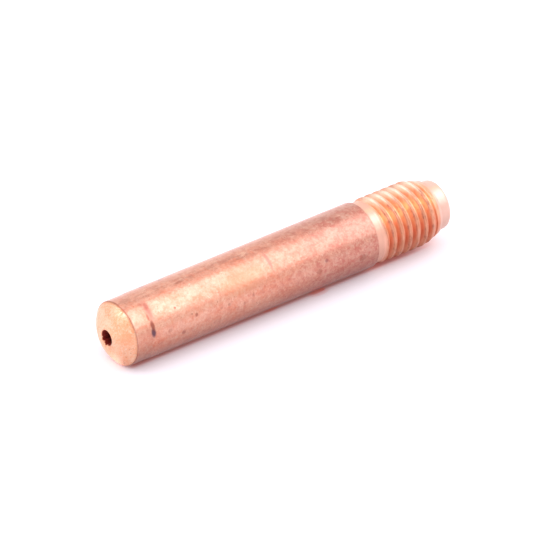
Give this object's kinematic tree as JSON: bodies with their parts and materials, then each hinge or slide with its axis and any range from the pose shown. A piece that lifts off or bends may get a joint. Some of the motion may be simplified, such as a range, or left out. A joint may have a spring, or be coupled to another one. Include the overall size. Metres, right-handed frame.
{
  "type": "welding contact tip",
  "caption": "Copper contact tip for a wire welding torch, with a domed nose, a plain round body, an external thread on its tail and a bore for the wire",
  "frame": {"origin": "centre of the rear face of the pilot, on which the tip stands", "axes": "+Z runs along the axis from the rear face to the nose; X and Y are across it"},
  "size_m": [0.0064, 0.0064, 0.0381],
  "materials": {
    "copper": "drawn copper, tarnished on the body, bright on the nose and tail"
  },
  "bodies": {
    "root": {"contact_tip": "copper"}
  },
  "joints": []
}
